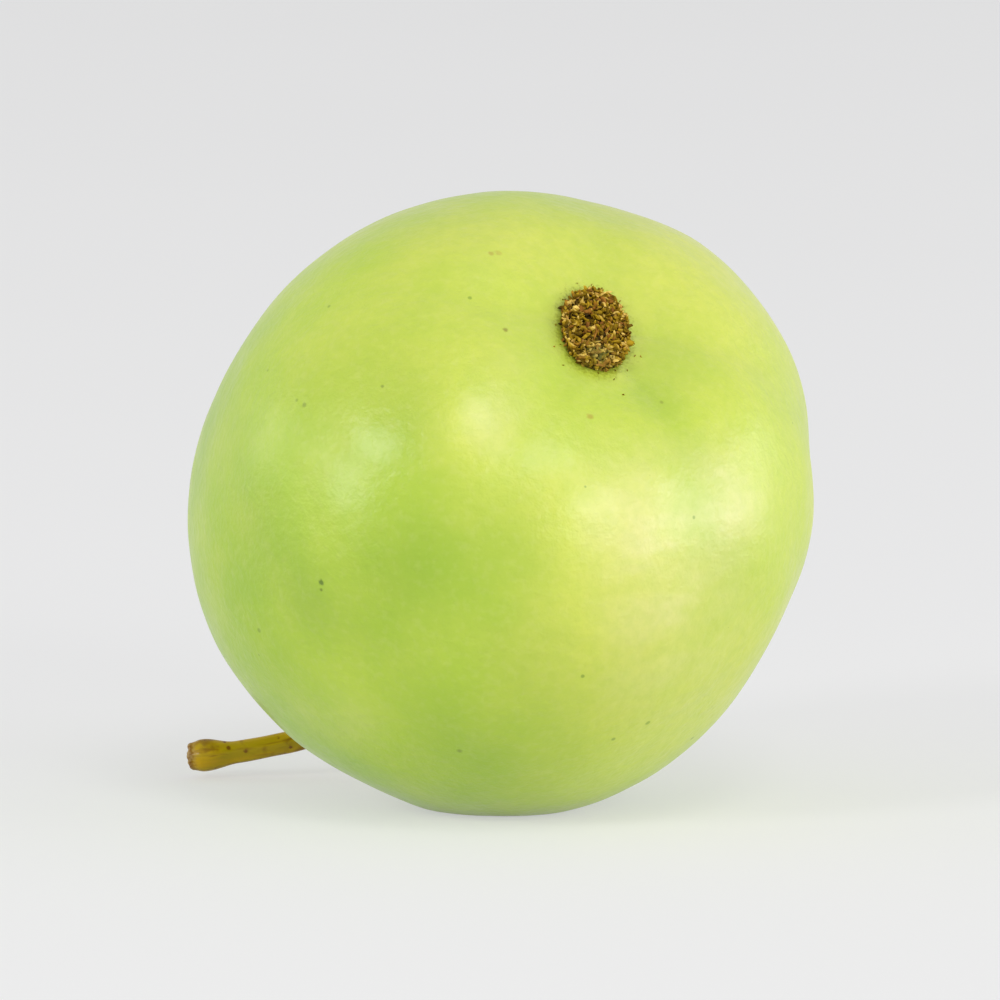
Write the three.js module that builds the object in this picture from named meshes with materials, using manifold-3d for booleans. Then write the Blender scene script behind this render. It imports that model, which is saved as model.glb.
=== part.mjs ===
// A crab apple as picked: the fruit, its stem and its dried calyx.
// The apple lies on the shoulder beside its stem, on a small flat spot, with the calyx raised.
// Millimetres, +Z up. The origin is the centre of the flat spot.
//
// Everything is modelled upright first, in the fruit's own frame: its centre at the origin,
// the stem's hollow at the +Z pole and the calyx at the -Z pole. One group then lays it down.

import * as THREE from 'three';
import { mergeVertices } from 'three/addons/utils/BufferGeometryUtils.js';
import Module from 'manifold-3d';

const wasm = await Module();
wasm.setup();

const { degToRad, smoothstep } = THREE.MathUtils;

// The fruit's body. Fractions are of RADIUS.
const RADIUS = 21; // half the mean width
const SQUARENESS = 2.3; // exponent of the side view's rounded outline: 2 is an ellipse
const STEM_SHOULDER = 1.0; // height of the stem's half before its hollow is sunk
const CALYX_SHOULDER = 0.88; // height of the calyx's half before its basin is sunk
const STEM_HOLLOW_DEPTH = 0.26;
const STEM_HOLLOW_WIDTH = 0.3;
const STEM_HOLLOW_STEEPNESS = 1.6;
const CALYX_BASIN_DEPTH = 0.09;
const CALYX_BASIN_WIDTH = 0.36;

// Five low ribs with grooves between them, strongest at the calyx.
const RIBS = 5;
const RIB_HEIGHT = 0.022;
const RIB_MEAN = 0.375; // mean of the groove curve, taken off so that ribs keep the width
const RIB_SHARE_AT_STEM = 0.25;
const RIB_FADE_START = 0.8; // polar angle from the stem, in radians
const RIB_FADE_LENGTH = 1.5;
const GROOVE_TURN = degToRad(38.6);
const GROOVE_UNEVENNESS = 0.235; // radians that the grooves are pushed to one side
const GROOVE_UNEVEN_TURN = degToRad(175.8);

// The fruit isn't quite round: wider one way, three-sided, and leaning.
const OVAL = 0.023;
const OVAL_TURN = degToRad(145.5);
const THREE_SIDED = 0.025;
const THREE_SIDED_TURN = degToRad(25.8);
const LEAN = 0.025;
const LEAN_TURN = degToRad(13.3);

// How it lies: where the calyx points, and how much of the shoulder is flat.
const CALYX_ELEVATION = degToRad(47.8);
const CALYX_HEADING = degToRad(31.2); // from -Y towards +X
const FLAT_DEPTH = 0.52;

// The stem, straight out of its socket and then bent over towards the ground.
const STEM_RADIUS = 0.75;
const STEM_BASE_SWELL = 0.2; // extra radius where it enters the fruit
const STEM_BASE_TAPER = [0.12, 0.35]; // shares of its length over which that swelling fades
const STEM_END_SWELL = 0.35; // extra radius at the picked end
const STEM_END_TAPER = [0.83, 0.97];
const STEM_END_ROUNDING = 0.8; // the picked end's rim is drawn in by this much
const SOCKET_DEPTH = 2.5;
const STEM_STRAIGHT = 1.5; // how far it runs straight out of the hollow's floor
const STEM_TIP = new THREE.Vector3(-21.5, 12.5, 1.5); // where the picked end lies
const STEM_TIP_DIRECTION = new THREE.Vector3(-0.98, 0.1, -0.1); // which way that end points
const STEM_CURVE_HANDLE = 0.42; // length of the bend's two handles, as a share of its span

// The dried calyx: an oval button of crumbled sepals, let into the basin.
const CALYX_HALF_LENGTH = 3.9;
const CALYX_HALF_WIDTH = 2.65;
const CALYX_TURN = degToRad(120);
const CALYX_STAND = 0.75; // how far it stands out of the basin
const CALYX_ROOT = 1.0; // how far it is let into the flesh
const CALYX_FLATTENING = 0.7; // below 1 flattens the button's top
const CRUMB_HEIGHT = 0.2;
const CRUMB_PITCH = 1.2;
const CRUMB_WAVES = [degToRad(10), degToRad(125), degToRad(252)]; // ways the rows of crumbs run

const GAP = 0.3; // clearance between the fruit and what is set into it

// How finely the surfaces are divided.
const RING_BUNCHING = 0.2; // how far the rings are drawn in towards the poles
const FRUIT_TURNS = 72;
const FRUIT_RINGS = 48;
const CALYX_TURNS = 40;
const CALYX_RINGS = 22;
const STEM_SIDES = 14;
const STEM_RINGS = 48;
const SOCKET_SIDES = 24;

const SKIN_GREEN = 0xa9c345;
const STEM_OCHRE = 0x8f7c18;
const CALYX_BROWN = 0x877421;

// ---- Solids ----

// Joins a geometry's shared corners and hands it to manifold.
function toSolid(geometry) {
  const bare = geometry.clone();
  bare.deleteAttribute('normal');
  bare.deleteAttribute('uv');
  const merged = mergeVertices(bare);
  const mesh = new wasm.Mesh({
    numProp: 3,
    vertProperties: new Float32Array(merged.attributes.position.array),
    triVerts: new Uint32Array(merged.index.array),
  });
  return new wasm.Manifold(mesh);
}

function toGeometry(solid) {
  const mesh = solid.getMesh();
  const geometry = new THREE.BufferGeometry();
  geometry.setAttribute('position', new THREE.BufferAttribute(mesh.vertProperties, 3));
  geometry.setIndex(new THREE.BufferAttribute(mesh.triVerts, 1));
  geometry.computeVertexNormals();
  return geometry;
}

// Moves every vertex to where the rule puts it. The rule changes the vector that it is given.
function reshape(geometry, rule) {
  const position = geometry.attributes.position;
  const point = new THREE.Vector3();
  for (let index = 0; index < position.count; index += 1) {
    point.fromBufferAttribute(position, index);
    rule(point);
    position.setXYZ(index, point.x, point.y, point.z);
  }
  return geometry;
}

// A unit sphere with its poles on Z and its rings drawn in towards the poles.
function poledSphere(turns, rings) {
  const sphere = new THREE.SphereGeometry(1, turns, rings).rotateX(Math.PI / 2);
  return reshape(sphere, (point) => {
    const turn = Math.atan2(point.y, point.x);
    const even = Math.acos(THREE.MathUtils.clamp(point.z, -1, 1));
    const polar = even - RING_BUNCHING * Math.sin(2 * even);
    point.set(Math.sin(polar) * Math.cos(turn), Math.sin(polar) * Math.sin(turn), Math.cos(polar));
  });
}

// ---- The fruit ----

// Distance from the centre to the skin, before the two hollows are sunk.
function bodyRadius(polar, turn) {
  const side = Math.sin(polar);
  const up = Math.cos(polar);
  const shoulder = up > 0 ? STEM_SHOULDER : CALYX_SHOULDER;
  const sum = side ** SQUARENESS + (Math.abs(up) / shoulder) ** SQUARENESS;
  const outline = sum ** (-1 / SQUARENESS);

  const uneven = GROOVE_UNEVENNESS * Math.cos(turn - GROOVE_UNEVEN_TURN);
  const groove = ((1 + Math.cos(RIBS * (turn - GROOVE_TURN - uneven))) / 2) ** 2;
  const fade = smoothstep(polar, RIB_FADE_START, RIB_FADE_START + RIB_FADE_LENGTH);
  const share = RIB_SHARE_AT_STEM + (1 - RIB_SHARE_AT_STEM) * fade;
  const ribs = RIB_HEIGHT * share * side * (RIB_MEAN - groove);

  const oval = OVAL * side ** 2 * Math.cos(2 * (turn - OVAL_TURN));
  const threeSided = THREE_SIDED * side ** 3 * Math.cos(3 * (turn - THREE_SIDED_TURN));
  const lean = LEAN * side * up * Math.cos(turn - LEAN_TURN);
  return outline * (1 + ribs + oval + threeSided + lean);
}

// A point of the skin, in the fruit's own frame.
function skinPoint(polar, turn, target) {
  const radius = bodyRadius(polar, turn);
  const out = radius * Math.sin(polar);
  let height = radius * Math.cos(polar);
  if (Math.cos(polar) > 0) {
    height -= STEM_HOLLOW_DEPTH * Math.exp(-((out / STEM_HOLLOW_WIDTH) ** STEM_HOLLOW_STEEPNESS));
  } else {
    height += CALYX_BASIN_DEPTH * Math.exp(-((out / CALYX_BASIN_WIDTH) ** 2));
  }
  target.set(out * Math.cos(turn), out * Math.sin(turn), height);
  return target.multiplyScalar(RADIUS);
}

function wholeFruit() {
  return reshape(poledSphere(FRUIT_TURNS, FRUIT_RINGS), (point) => {
    const polar = Math.acos(THREE.MathUtils.clamp(point.z, -1, 1));
    skinPoint(polar, Math.atan2(point.y, point.x), point);
  });
}

const STEM_HOLLOW_FLOOR = RADIUS * (STEM_SHOULDER - STEM_HOLLOW_DEPTH);
const CALYX_BASIN_FLOOR = -RADIUS * (CALYX_SHOULDER - CALYX_BASIN_DEPTH);

// ---- How it lies ----

// The turn that lays the fruit down: its stem axis points down and away, opposite the calyx.
function layingTurn() {
  const stemAxis = new THREE.Vector3(
    -Math.cos(CALYX_ELEVATION) * Math.sin(CALYX_HEADING),
    Math.cos(CALYX_ELEVATION) * Math.cos(CALYX_HEADING),
    -Math.sin(CALYX_ELEVATION),
  );
  const level = new THREE.Vector3(0, 0, 1).cross(stemAxis).normalize();
  const rising = new THREE.Vector3().crossVectors(stemAxis, level);
  return new THREE.Matrix4().makeBasis(level, rising, stemAxis);
}

// Everything of a solid that is above the ground at height zero.
function aboveGround(solid) {
  const size = 6 * RADIUS;
  const ground = new THREE.BoxGeometry(size, size, size).translate(0, 0, -size / 2);
  return solid.subtract(toSolid(ground));
}

// Centre of the flat face that lies on the ground.
function flatCentre(geometry) {
  const position = geometry.attributes.position;
  const index = geometry.index;
  const centre = new THREE.Vector3();
  const corners = [new THREE.Vector3(), new THREE.Vector3(), new THREE.Vector3()];
  const triangle = new THREE.Triangle(...corners);
  let area = 0;
  for (let first = 0; first < index.count; first += 3) {
    corners.forEach((corner, step) => corner.fromBufferAttribute(position, index.getX(first + step)));
    triangle.set(...corners);
    if (corners.every((corner) => Math.abs(corner.z) < 1e-4)) {
      const share = triangle.getArea();
      centre.addScaledVector(triangle.getMidpoint(new THREE.Vector3()), share);
      area += share;
    }
  }
  return centre.divideScalar(area);
}

const turned = layingTurn();
const lyingFruit = wholeFruit().applyMatrix4(turned);
lyingFruit.computeBoundingBox();
const drop = -lyingFruit.boundingBox.min.z - FLAT_DEPTH;
const cutFruit = toGeometry(aboveGround(toSolid(lyingFruit.translate(0, 0, drop))));
const spot = flatCentre(cutFruit);
const lying = turned.clone().setPosition(-spot.x, -spot.y, drop);
const upright = lying.clone().invert();

// ---- The stem ----

// The middle line of the stem, in the fruit's own frame.
function stemLine() {
  const tip = STEM_TIP.clone().applyMatrix4(upright);
  const tipDirection = STEM_TIP_DIRECTION.clone().transformDirection(upright);
  const root = new THREE.Vector3(0, 0, STEM_HOLLOW_FLOOR - SOCKET_DEPTH + GAP);
  const mouth = new THREE.Vector3(0, 0, STEM_HOLLOW_FLOOR + STEM_STRAIGHT);
  const handle = STEM_CURVE_HANDLE * mouth.distanceTo(tip);
  const line = new THREE.CurvePath();
  line.add(new THREE.LineCurve3(root, mouth));
  line.add(new THREE.CubicBezierCurve3(
    mouth,
    mouth.clone().setZ(mouth.z + handle),
    tip.clone().addScaledVector(tipDirection, -handle),
    tip,
  ));
  return line;
}

// Radius of the stem at a share of its length: swollen at the fruit and at the picked end.
function stemRadius(along) {
  const atFruit = STEM_BASE_SWELL * (1 - smoothstep(along, ...STEM_BASE_TAPER));
  const atEnd = STEM_END_SWELL * smoothstep(along, ...STEM_END_TAPER);
  return STEM_RADIUS + atFruit + atEnd;
}

// A round bar about Y, closed at both ends on its axis, then bent along the middle line.
function stemGeometry() {
  const line = stemLine();
  const profile = [new THREE.Vector2(0, 0)];
  for (let ring = 0; ring <= STEM_RINGS; ring += 1) {
    const along = ring / STEM_RINGS;
    profile.push(new THREE.Vector2(stemRadius(along), along));
  }
  profile.at(-1).x *= STEM_END_ROUNDING;
  profile.push(new THREE.Vector2(0, 1));
  const bar = new THREE.LatheGeometry(profile, STEM_SIDES);
  const frames = line.computeFrenetFrames(STEM_RINGS, false);
  return reshape(bar, (point) => {
    const ring = Math.round(point.y * STEM_RINGS);
    const { x, z } = point;
    line.getPointAt(ring / STEM_RINGS, point);
    point.addScaledVector(frames.binormals[ring], x);
    point.addScaledVector(frames.normals[ring], z);
  });
}

// The round hole in the floor of the hollow that the stem grows out of.
function stemSocket() {
  const radius = STEM_RADIUS + STEM_BASE_SWELL + GAP;
  const height = SOCKET_DEPTH + RADIUS;
  return new THREE.CylinderGeometry(radius, radius, height, SOCKET_SIDES)
    .rotateX(Math.PI / 2)
    .translate(0, 0, STEM_HOLLOW_FLOOR - SOCKET_DEPTH + height / 2);
}

// ---- The calyx ----

// Height of the crumbs at a place on the button: three rows of waves crossing, from -1 to 1.
function crumbWave(x, y) {
  const waves = CRUMB_WAVES.map((turn) => {
    const across = x * Math.cos(turn) + y * Math.sin(turn);
    return Math.cos((2 * Math.PI * across) / CRUMB_PITCH + turn);
  });
  return waves.reduce((sum, wave) => sum + wave, 0) / waves.length;
}

// An oval button across the -Z pole, grown all round by a margin, with or without its crumbs.
function calyxButton(margin, crumbHeight) {
  const halfThickness = (CALYX_STAND + CALYX_ROOT) / 2;
  const middle = CALYX_BASIN_FLOOR + (CALYX_ROOT - CALYX_STAND) / 2;
  return reshape(poledSphere(CALYX_TURNS, CALYX_RINGS), (point) => {
    const crumb = crumbHeight * crumbWave(CALYX_HALF_LENGTH * point.x, CALYX_HALF_WIDTH * point.y);
    const flattened = Math.sign(point.z) * Math.abs(point.z) ** CALYX_FLATTENING;
    point.x *= CALYX_HALF_LENGTH + margin + crumb;
    point.y *= CALYX_HALF_WIDTH + margin + crumb;
    point.z = flattened * (halfThickness + margin + crumb);
  }).rotateZ(CALYX_TURN).translate(0, 0, middle);
}

// ---- The pieces ----

function piece(name, geometry, colour, roughness) {
  const material = new THREE.MeshStandardMaterial({ color: colour, roughness, metalness: 0 });
  const mesh = new THREE.Mesh(geometry, material);
  mesh.name = name;
  return mesh;
}

function fruitGeometry() {
  const onGround = toSolid(cutFruit.clone().translate(-spot.x, -spot.y, 0).applyMatrix4(upright));
  const socketed = onGround.subtract(toSolid(stemSocket()));
  return toGeometry(socketed.subtract(toSolid(calyxButton(GAP, 0))));
}

const apple = new THREE.Group();
apple.add(piece('fruit', fruitGeometry(), SKIN_GREEN, 0.42));
apple.add(piece('stem', stemGeometry(), STEM_OCHRE, 0.35));
apple.add(piece('calyx', calyxButton(0, CRUMB_HEIGHT), CALYX_BROWN, 0.9));
apple.applyMatrix4(lying);

const crabApple = new THREE.Group();
crabApple.add(apple);

export default crabApple;
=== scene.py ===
"""A crab apple as picked, lying on its flat spot: its skin, its stem and its dried calyx.

The skin, the stem and the calyx are surfaces worked out from formulas in the fruit's own frame, where the
centre is the origin, the stem's hollow is the +Z pole and the calyx is the -Z pole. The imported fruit's box
then says where they lie. Lengths are in metres.
"""

import math

import bpy
import numpy as np
from bpy.props import FloatProperty, FloatVectorProperty, IntProperty, PointerProperty
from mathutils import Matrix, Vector


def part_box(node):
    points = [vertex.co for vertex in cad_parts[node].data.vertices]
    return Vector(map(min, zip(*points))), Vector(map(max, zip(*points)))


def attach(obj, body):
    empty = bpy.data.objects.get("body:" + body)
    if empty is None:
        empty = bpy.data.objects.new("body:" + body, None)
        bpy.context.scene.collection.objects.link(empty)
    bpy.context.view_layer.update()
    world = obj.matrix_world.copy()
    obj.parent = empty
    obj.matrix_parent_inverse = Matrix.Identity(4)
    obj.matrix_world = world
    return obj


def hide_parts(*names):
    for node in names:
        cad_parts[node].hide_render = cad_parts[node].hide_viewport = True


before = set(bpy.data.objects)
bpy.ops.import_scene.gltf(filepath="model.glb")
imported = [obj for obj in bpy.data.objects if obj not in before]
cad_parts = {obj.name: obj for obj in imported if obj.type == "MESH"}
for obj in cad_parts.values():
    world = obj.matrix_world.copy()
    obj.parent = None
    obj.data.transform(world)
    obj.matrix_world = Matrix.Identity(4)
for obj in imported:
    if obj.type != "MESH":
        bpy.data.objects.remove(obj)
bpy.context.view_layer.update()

bl_info = {
    "name": "Crab Apple",
    "version": (1, 0, 0),
    "blender": (4, 5, 0),
    "location": "3D View > Sidebar > Crab Apple",
    "description": "Builds a picked crab apple with its stem and dried calyx",
    "category": "Add Mesh",
}

BODY = "root"
MM = 0.001

# Slow swellings of the skin: polar angle from the stem and turn round it, in degrees, then the
# swelling's radius in degrees and its height in millimetres. A negative height is a dent.
SWELLINGS = (
    (117, 344, 20, 0.15), (135, 325, 18, 0.20), (136, 283, 14, 0.12), (134, 250, 12, 0.17),
    (74, 315, 12, 0.12), (86, 355, 11, -0.15), (87, 333, 13, -0.18), (106, 318, 13, -0.21),
    (130, 303, 13, -0.05), (115, 270, 13, -0.13), (119, 292, 11, 0.04), (150, 26, 12, -0.06),
    (161, 67, 12, 0.03), (154, 177, 14, 0.05), (121, 263, 11, -0.08), (94, 251, 12, 0.05),
    (70, 289, 11, -0.09),
)

# Patches of tint on the skin: polar angle and turn in degrees, radius in degrees, then how far the skin goes
# towards its pale bloom, or where it is negative towards its lush green. They are partly real bloom and
# green and partly painted light: the strongest pale patches lie under the brightest highlights as painted
# highlight, and some green ones are painted shade between them.
SKIN_TINTS_AND_PAINTED_LIGHT = (
    (132, 276, 15, 0.62), (136, 248, 9, 0.62), (139, 262, 6, -0.25), (121, 335, 7, 0.14),
    (110, 268, 14, 0.28), (107, 297, 11, -0.28), (141, 332, 9, 0.36), (74, 318, 8, 0.24),
    (62, 331, 9, 0.10), (90, 338, 7, -0.60), (90, 354, 9, -0.30), (111, 326, 13, -0.58),
    (125, 305, 11, -0.30), (164, 212, 9, -0.35), (161, 255, 7, -0.42), (130, 342, 10, -0.50),
    (132, 0, 10, -0.30), (116, 4, 13, -0.40), (75, 292, 15, -0.48), (180, 0, 17, -0.11),
    (117, 252, 11, 0.10), (128, 284, 6, -0.12), (143, 313, 5, -0.20), (116, 347, 8, -0.16),
    (154, 339, 6, 0.13), (90, 322, 10, -0.15), (153, 43, 5, 0.16),
)

# How green and dark the colour along each groove is, from the first groove on, partly the skin's own green
# and partly painted groove shade, and the mean of a groove's profile.
GROOVE_GREENS_AND_SHADE = (0.0, 0.5, 0.2, 0.7, 0.33)
GROOVE_MEAN = 0.375

# Specks of the skin: polar angle, turn, radius in mm, how dark and green it is rather than rusty, and how
# strong it is.
SPECKS = (
    (96.5, 337.1, 0.22, 1.0, 1.0), (95.2, 336.4, 0.13, 0.9, 0.8), (116.1, 4.3, 0.19, 0.9, 0.55),
    (115.0, 6.5, 0.13, 1.0, 0.4), (78.3, 299.5, 0.19, 0.9, 0.55), (158.5, 4.3, 0.20, 0.5, 0.8),
    (153.9, 297.9, 0.24, 0.0, 0.55), (152.8, 55.9, 0.20, 0.0, 0.5), (153.8, 58.6, 0.24, 0.0, 0.35),
    (158.2, 253.6, 0.14, 0.7, 0.5), (130.6, 357.1, 0.12, 0.9, 0.6), (70.0, 120.0, 0.20, 0.9, 0.9),
    (104.0, 205.0, 0.16, 0.3, 0.8), (58.0, 30.0, 0.18, 0.6, 0.7),
)

# The stage's soft boxes, named as their settings: azimuth from -Y towards +X and elevation in degrees,
# then the side in metres.
SOFT_BOXES = {
    "left_box": (-48, 28, 0.25),
    "low_left_box": (-60, 7, 0.25),
    "right_box": (73, 9, 0.45),
    "front_box": (33, 19, 0.40),
    "top_box": (17, 52, 0.32),
    "left_fill": (-100, 8, 0.60),
    "right_fill": (100, 8, 0.60),
}
LAMP_DISTANCE = 1.1
FLOOR_REACH = 4.0

# Grids: rings from pole to pole or along a piece, then points round a ring.
SKIN_GRID = (270, 330)
ROUGH_SKIN_GRID = (160, 240)
STEM_GRID = (260, 56)
BUTTON_GRID = (26, 96)

# Seeds of the random draws.
RIPPLE_SEED, FINE_RIPPLE_SEED, STEM_SEED, CRUMB_SEED = 11, 12, 5, 23

# Places on the calyx, off the fruit's axis, where crumbs are paler or grey-green, and how far these reach.
PALE_CRUMBS = (-0.0026, 0.0010, 0.0006)
MOSSY_CRUMBS = (0.0013, -0.0027, 0.0008)


# ---- Settings ----


def length(name, description, default):
    """A length in metres that a user can change."""
    return FloatProperty(name=name, description=description, default=default, unit="LENGTH", precision=5)


def angle(name, description, degrees):
    """An angle that a user sees in degrees."""
    return FloatProperty(
        name=name, description=description, default=math.radians(degrees), subtype="ANGLE", unit="ROTATION"
    )


def share(name, description, default):
    """A plain number, such as a fraction of the radius."""
    return FloatProperty(name=name, description=description, default=default, precision=4)


def vector(name, description, default, unit="LENGTH"):
    """A place in metres, or a direction where the unit is NONE."""
    return FloatVectorProperty(
        name=name, description=description, default=default, size=len(default), unit=unit, precision=5
    )


def soft_box(name, default):
    """The radiance of a soft box."""
    return share(name, f"Radiance of the {name.lower()}", default)


def colour(name, description, default):
    """A colour in Blender's linear working space."""
    return FloatVectorProperty(
        name=name, description=description, default=default, size=3, subtype="COLOR", min=0, max=1
    )


class FruitSettings(bpy.types.PropertyGroup):
    """Shape and colours of the fruit; lengths given as shares are shares of the radius."""

    radius: length("Radius", "Half the mean width", 0.021)
    squareness: share("Squareness", "Exponent of the rounded outline; 2 is an ellipse", 2.3)
    stem_shoulder: share("Stem shoulder", "Height of the stem's half", 1.0)
    calyx_shoulder: share("Calyx shoulder", "Height of the calyx's half", 0.88)
    hollow_depth: share("Hollow depth", "Depth of the stem's hollow", 0.26)
    hollow_width: share("Hollow width", "Width of the stem's hollow", 0.30)
    hollow_steepness: share("Hollow steepness", "Exponent of the hollow's wall", 1.6)
    basin_depth: share("Basin depth", "Depth of the calyx's basin", 0.09)
    basin_width: share("Basin width", "Width of the calyx's basin", 0.36)
    ribs: IntProperty(name="Ribs", description="Number of ribs", default=5)
    rib_height: share("Rib height", "Height of a rib over its groove", 0.022)
    groove_turn: angle("Groove turn", "Where the first groove runs", 38.6)
    unevenness: angle("Unevenness", "How far the grooves are pushed to one side", 13.46)
    uneven_turn: angle("Uneven turn", "The side that they are pushed from", 175.8)
    oval: share("Oval", "How much wider it is one way", 0.023)
    oval_turn: angle("Oval turn", "Which way that is", 145.5)
    three_sided: share("Three-sided", "How far it bulges three ways", 0.025)
    three_sided_turn: angle("Three-sided turn", "Where the first bulge is", 25.8)
    lean: share("Lean", "How far its shoulders lean", 0.025)
    lean_turn: angle("Lean turn", "Which way they lean", 13.3)
    calyx_elevation: angle("Calyx elevation", "How high the calyx points as it lies", 47.8)
    calyx_heading: angle("Calyx heading", "Which way it points, from -Y towards +X", 31.2)
    ripple: length("Ripple", "Height of the slow ripples", 0.00006)
    fine_ripple: length("Fine ripple", "Height of the finer ripples", 0.000012)
    crease: length("Crease", "Depth of the fine crease along each groove", 0.00006)
    green: colour("Green", "The greener skin", (0.335, 0.53, 0.024))
    lime: colour("Lime", "The skin between", (0.475, 0.64, 0.045))
    yellow: colour("Yellow", "The riper skin", (0.65, 0.715, 0.10))
    # The bloom colour is also a painted highlight where the tints lay it under the brightest highlights.
    bloom: colour("Bloom", "The pale waxy bloom", (0.88, 0.80, 0.42))
    # The lush colour is also painted shade where the tints lay it between the highlights.
    lush_and_painted_shade: colour("Lush", "The deepest green", (0.27, 0.45, 0.018))
    # The pore colour is also painted shade deep in the grooves.
    pore_and_groove_shade: colour("Pore", "Pores of the skin", (0.20, 0.33, 0.012))
    dust: colour("Dust", "The dust round the calyx", (0.27, 0.31, 0.003))
    dark_speck: colour("Dark speck", "The darkest specks", (0.12, 0.22, 0.001))
    rusty_speck: colour("Rusty speck", "The rusty specks", (0.42, 0.27, 0.02))
    russet: colour("Russet", "The corky skin round the stem", (0.33, 0.27, 0.07))


class StemSettings(bpy.types.PropertyGroup):
    """Shape and colours of the stem."""

    radius: length("Radius", "Half the thickness", 0.00075)
    base_swell: length("Base swell", "Extra radius where it enters the fruit", 0.0002)
    end_swell: length("End swell", "Extra radius at the picked end", 0.00035)
    socket_depth: length("Socket depth", "How deep it is rooted in the fruit", 0.0022)
    straight: length("Straight", "How far it runs straight out of the hollow", 0.0015)
    tip: vector("Tip", "Where the picked end lies", (-0.0215, 0.0125, 0.0015))
    tip_direction: vector("Tip direction", "Which way the picked end points", (-0.98, 0.1, -0.1), "NONE")
    handle: share("Handle", "Length of the bend's handles as a share of its span", 0.42)
    ochre: colour("Ochre", "The stem's own colour", (0.66, 0.40, 0.004))
    olive: colour("Olive", "The greener streaks", (0.47, 0.33, 0.004))
    bark: colour("Bark", "The brown streaks, dots and patches", (0.19, 0.060, 0.004))
    scar: colour("Scar", "The torn end", (0.42, 0.28, 0.11))


class CalyxSettings(bpy.types.PropertyGroup):
    """Shape and colours of the dried calyx."""

    half_length: length("Half length", "Half the long way across", 0.00375)
    half_width: length("Half width", "Half the short way across", 0.00245)
    turn: angle("Turn", "Where the long way points", 114)
    middle: vector("Middle", "Its middle, off the fruit's axis", (0.00035, -0.00028))
    stand: length("Stand", "How far it stands out of the basin", 0.00075)
    root: length("Root", "How deep it is let into the flesh", 0.001)
    crumbs: IntProperty(name="Crumbs", description="Number of dry crumbs on it", default=1250)
    strays: IntProperty(name="Strays", description="Number of crumbs strewn round it", default=26)
    crumb_length: length("Crumb length", "Mean length of a crumb", 0.00053)
    umber: colour("Umber", "The darkest crumbs", (0.034, 0.018, 0.001))
    brown: colour("Brown", "The common crumbs", (0.21, 0.125, 0.002))
    ochre: colour("Ochre", "The lighter crumbs", (0.50, 0.315, 0.012))
    straw: colour("Straw", "The palest crumbs", (0.92, 0.64, 0.14))
    rust: colour("Rust", "The reddest crumbs", (0.42, 0.165, 0.028))
    moss: colour("Moss", "The grey-green crumbs", (0.17, 0.20, 0.045))


class StageSettings(bpy.types.PropertyGroup):
    """Floor, light and camera."""

    floor: colour("Floor", "Colour of the floor", (0.84, 0.84, 0.845))
    backdrop: colour("Backdrop", "Colour behind the floor", (0.79, 0.79, 0.795))
    glow: colour("Glow", "Colour that the floor is lifted towards", (0.95, 0.95, 0.955))
    floor_lift: share("Floor lift", "How far the floor is lifted towards its glow", 0.5)
    daylight: share("Daylight", "Strength of the even light all round", 0.447)
    left_box: soft_box("Left soft box", 11.8)
    low_left_box: soft_box("Low left soft box", 8.6)
    right_box: soft_box("Right soft box", 4.4)
    front_box: soft_box("Front soft box", 5.1)
    top_box: soft_box("High soft box", 6.0)
    left_fill: soft_box("Far left soft box", 1.4)
    right_fill: soft_box("Far right soft box", 2.2)
    camera_elevation: angle("Camera elevation", "How high the camera stands", 8)
    camera_distance: length("Camera distance", "From the fruit's middle to the camera", 0.9)
    field_width: length("Field width", "Width that the camera sees at the fruit", 0.068)


class CrabAppleSettings(bpy.types.PropertyGroup):
    """All the settings of the crab apple."""

    fruit: PointerProperty(type=FruitSettings, name="Fruit", description="The fruit")
    stem: PointerProperty(type=StemSettings, name="Stem", description="The stem")
    calyx: PointerProperty(type=CalyxSettings, name="Calyx", description="The calyx")
    stage: PointerProperty(type=StageSettings, name="Stage", description="The stage")


# ---- Meshes from arrays ----


def tube_faces(rings, turns):
    """Quads between rings of points numbered ring by ring, each ring closing on itself."""
    ring, turn = np.meshgrid(np.arange(rings - 1), np.arange(turns), indexing="ij")
    here, beside = ring * turns + turn, ring * turns + (turn + 1) % turns
    return np.stack([here, here + turns, beside + turns, beside], -1).reshape(-1, 4)


def fan_faces(centre, first, turns, closing):
    """Triangles from one centre to a ring; the closing fan faces the other way."""
    turn = np.arange(turns)
    here, beside = first + turn, first + (turn + 1) % turns
    middle = np.full(turns, centre)
    return np.stack([middle, beside, here] if closing else [middle, here, beside], -1)


def make_piece(name, points, faces, node, smooth=True):
    """A piece from points and faces as it lies. It rides on the body and stands for a CAD node."""
    mesh = bpy.data.meshes.new(name)
    mesh.from_pydata(points.tolist(), [], [row for part in faces for row in part.tolist()])
    mesh.polygons.foreach_set("use_smooth", np.full(len(mesh.polygons), smooth))
    mesh.update()
    piece = bpy.data.objects.new(name, mesh)
    bpy.context.scene.collection.objects.link(piece)
    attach(piece, BODY)
    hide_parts(node)
    return piece


def capped_tube(rings, start, end):
    """Points and faces of rings of points (rings, turns, 3), closed at both ends by a fan to one point."""
    count, turns, _ = rings.shape
    points = np.concatenate([rings.reshape(-1, 3), start[None], end[None]])
    last = count * turns
    faces = [
        tube_faces(count, turns),
        fan_faces(last, 0, turns, closing=False),
        fan_faces(last + 1, last - turns, turns, closing=True),
    ]
    return points, faces


def store(piece, name, values):
    """Keeps a number or a vector for each point, as an attribute that the piece's material reads."""
    kind, key = ("FLOAT", "value") if np.ndim(values) == 1 else ("FLOAT_VECTOR", "vector")
    attribute = piece.data.attributes.new(name, kind, "POINT")
    attribute.data.foreach_set(key, np.asarray(values, np.float32).ravel())


def smoothstep(value, low, high):
    """0 below low, 1 above high, and 3t^2 - 2t^3 between."""
    t = np.clip((value - low) / (high - low), 0, 1)
    return t * t * (3 - 2 * t)


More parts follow.
